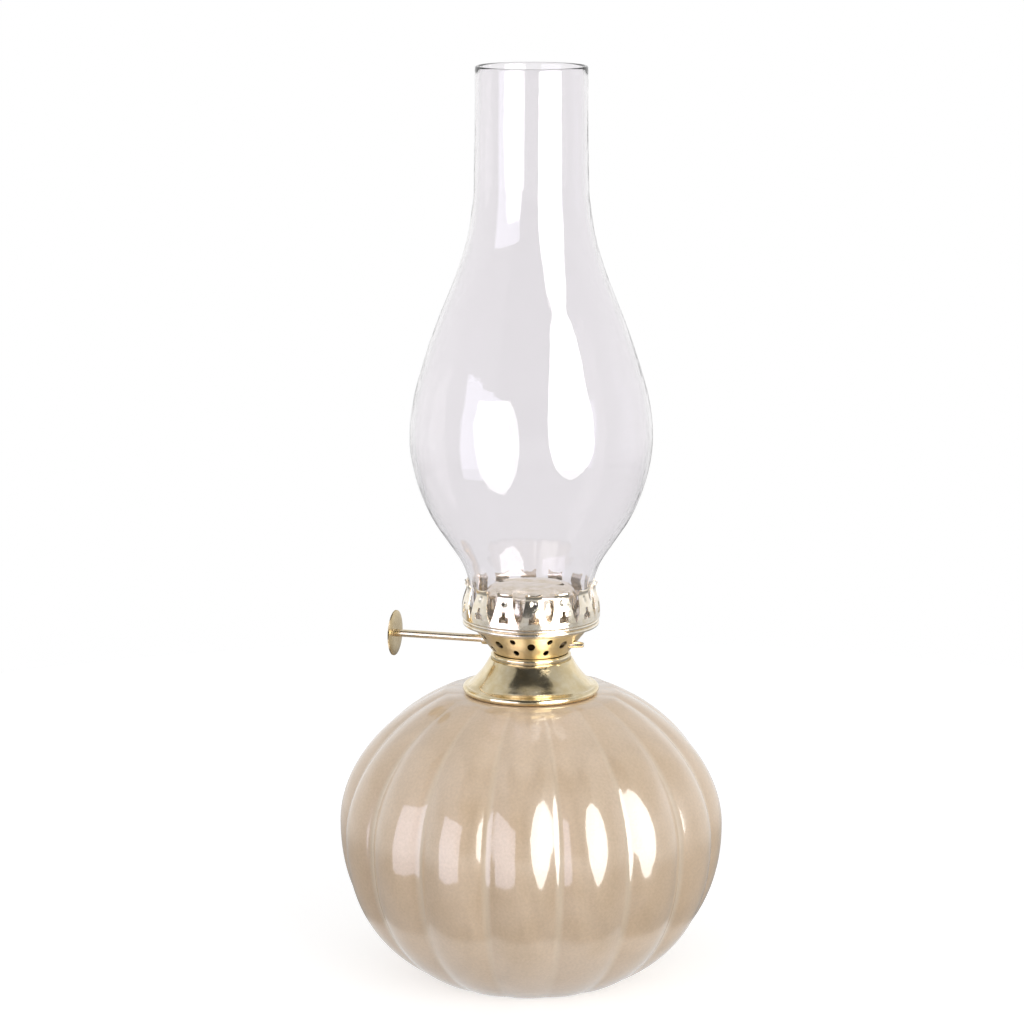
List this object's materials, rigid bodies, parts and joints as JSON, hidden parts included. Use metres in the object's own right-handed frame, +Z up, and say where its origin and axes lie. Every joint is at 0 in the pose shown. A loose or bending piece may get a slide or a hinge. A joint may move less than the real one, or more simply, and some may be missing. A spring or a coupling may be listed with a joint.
{
  "type": "kerosene lamp",
  "caption": "Table oil lamp: ribbed glass font, brass collar and burner with a winding knob, prong crown and bellied clear chimney.",
  "frame": {"origin": "centre of the font's flat foot, on the surface that the lamp stands on", "axes": "+Z up along the lamp's axis; the front of the picture is towards -Y, and the winding knob sticks out towards -X"},
  "size_m": [0.1604, 0.1604, 0.38],
  "materials": {
    "champagne_glass": "pearly champagne glass with pinched ribs",
    "clear_glass": "clear blown glass",
    "polished_brass": "polished pressed brass sheet",
    "plaster": "matt setting plaster",
    "woven_cotton": "flat woven cotton"
  },
  "bodies": {
    "font": {"font_glass": "champagne_glass", "collar_plaster": "plaster", "collar_cone": "polished_brass", "collar_thread_ring": "polished_brass"},
    "seat": {"burner_seat_bead": "polished_brass"},
    "burner": {"burner_screw_ring": "polished_brass", "burner_floor": "polished_brass", "vent_tube": "polished_brass", "wick_tube": "polished_brass", "wheel_cover": "polished_brass", "air_basket": "polished_brass", "spindle_bush": "polished_brass"},
    "spindle": {"wick_spindle": "polished_brass", "spur_wheel_knob_side": "polished_brass", "spur_wheel_middle": "polished_brass", "spur_wheel_far_side": "polished_brass", "knob_disc": "polished_brass"},
    "wick": {"flat_wick": "woven_cotton"},
    "gallery": {"gallery_rim": "polished_brass", "gallery_floor": "polished_brass", "prong_crown": "polished_brass", "flame_dome": "polished_brass"},
    "chimney": {"chimney_glass": "clear_glass"}
  },
  "joints": [
    {"name": "burner_rise", "type": "slide", "parent": "font", "child": "seat", "axis": [0, 0, 1], "range_m": [0, 0.0073]},
    {"name": "burner_turn", "type": "hinge", "parent": "seat", "child": "burner", "pos_m": [0, 0, 0.136], "axis": [0, 0, 1], "range_deg": [0, 1080]},
    {"name": "spindle_turn", "type": "hinge", "parent": "burner", "child": "spindle", "pos_m": [-0.00138, -0.00481, 0.14265], "axis": [0.9613, -0.2756, 0], "range_deg": [-85, 145]},
    {"name": "wick_travel", "type": "slide", "parent": "burner", "child": "wick", "axis": [0, 0, 1], "range_m": [-0.006, 0.01]},
    {"name": "gallery_lift", "type": "slide", "parent": "burner", "child": "gallery", "axis": [0, 0, 1], "range_m": [0, 0.05]},
    {"name": "chimney_lift", "type": "slide", "parent": "gallery", "child": "chimney", "axis": [0, 0, 1], "range_m": [0, 0.06]}
  ],
  "couplings": [
    {"joint": "burner_rise", "follows": "burner_turn", "m_per_rad": 0.00038197},
    {"joint": "wick_travel", "follows": "spindle_turn", "m_per_rad": 0.0038}
  ]
}
